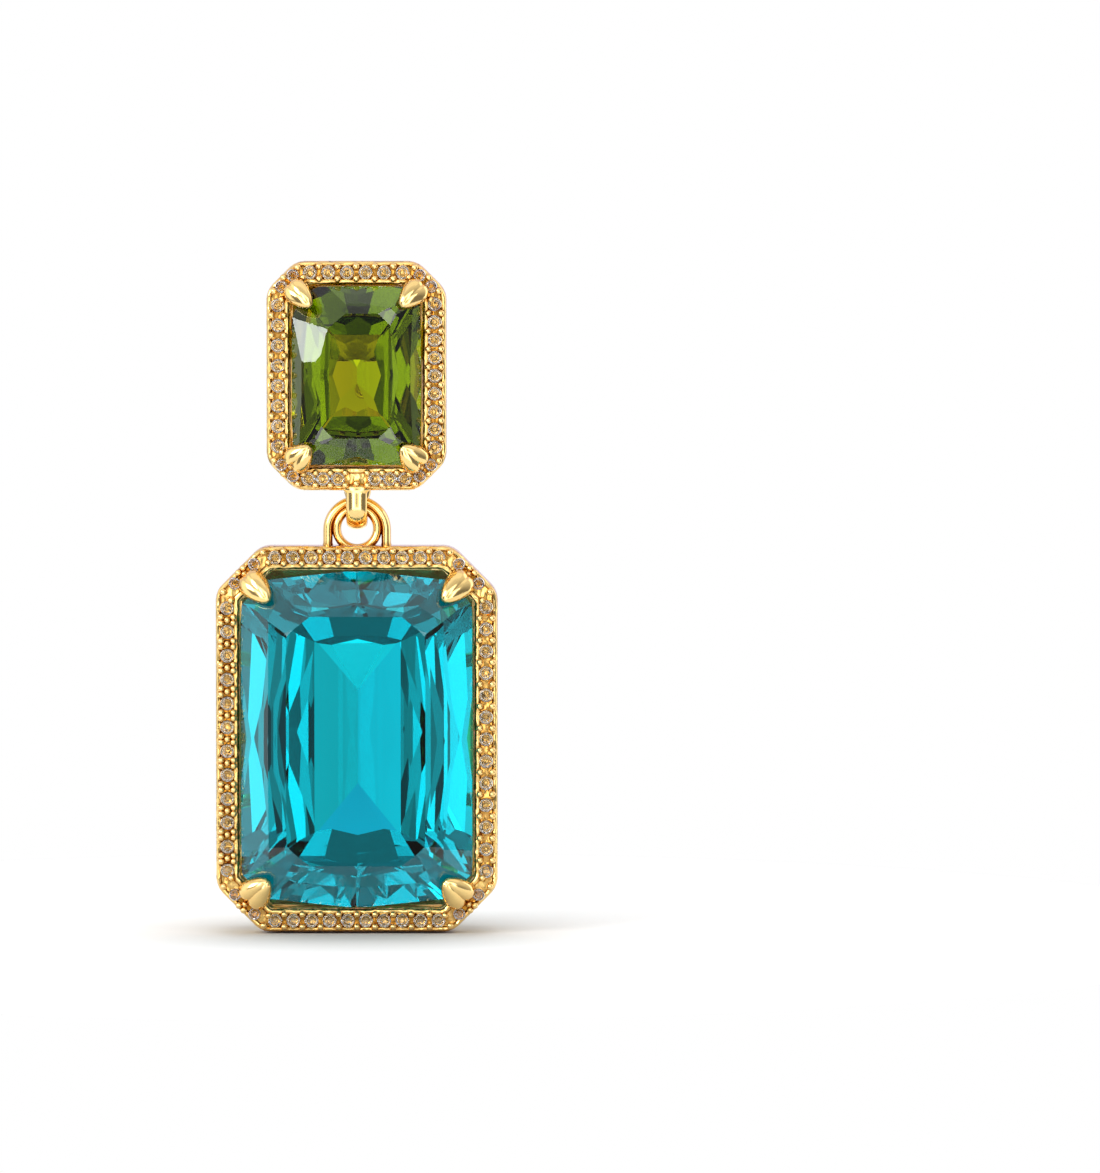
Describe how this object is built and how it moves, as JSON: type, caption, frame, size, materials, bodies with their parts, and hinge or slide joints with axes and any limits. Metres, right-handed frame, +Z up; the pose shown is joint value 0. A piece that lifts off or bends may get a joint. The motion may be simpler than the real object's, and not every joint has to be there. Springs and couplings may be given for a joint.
{
  "type": "drop earring",
  "caption": "Post earring with a cut-corner green stone in a gold halo of small stones, and a larger blue stone in a matching halo that hangs from it on a ring and loop.",
  "frame": {"origin": "on the ear post's axis, at the back face of the bar that carries it, where the ear lobe rests", "axes": "+Z up along the hanging earring, the stones face -Y, +Y along the ear post into the lobe, +X to the viewer's right"},
  "size_m": [0.0168, 0.0173, 0.04],
  "materials": {
    "upper_gold": "polished",
    "green_glass": "polished",
    "drop_gold": "polished",
    "blue_glass": "polished"
  },
  "bodies": {
    "upper": {"upper_setting": "upper_gold", "green_stone": "green_glass"},
    "drop": {"drop_setting": "drop_gold", "blue_stone": "blue_glass"}
  },
  "joints": [
    {"name": "drop_swing", "type": "hinge", "parent": "upper", "child": "drop", "pos_m": [0, -0.00305, -0.00968], "axis": [1, 0, 0], "range_deg": [-75, 75]}
  ]
}
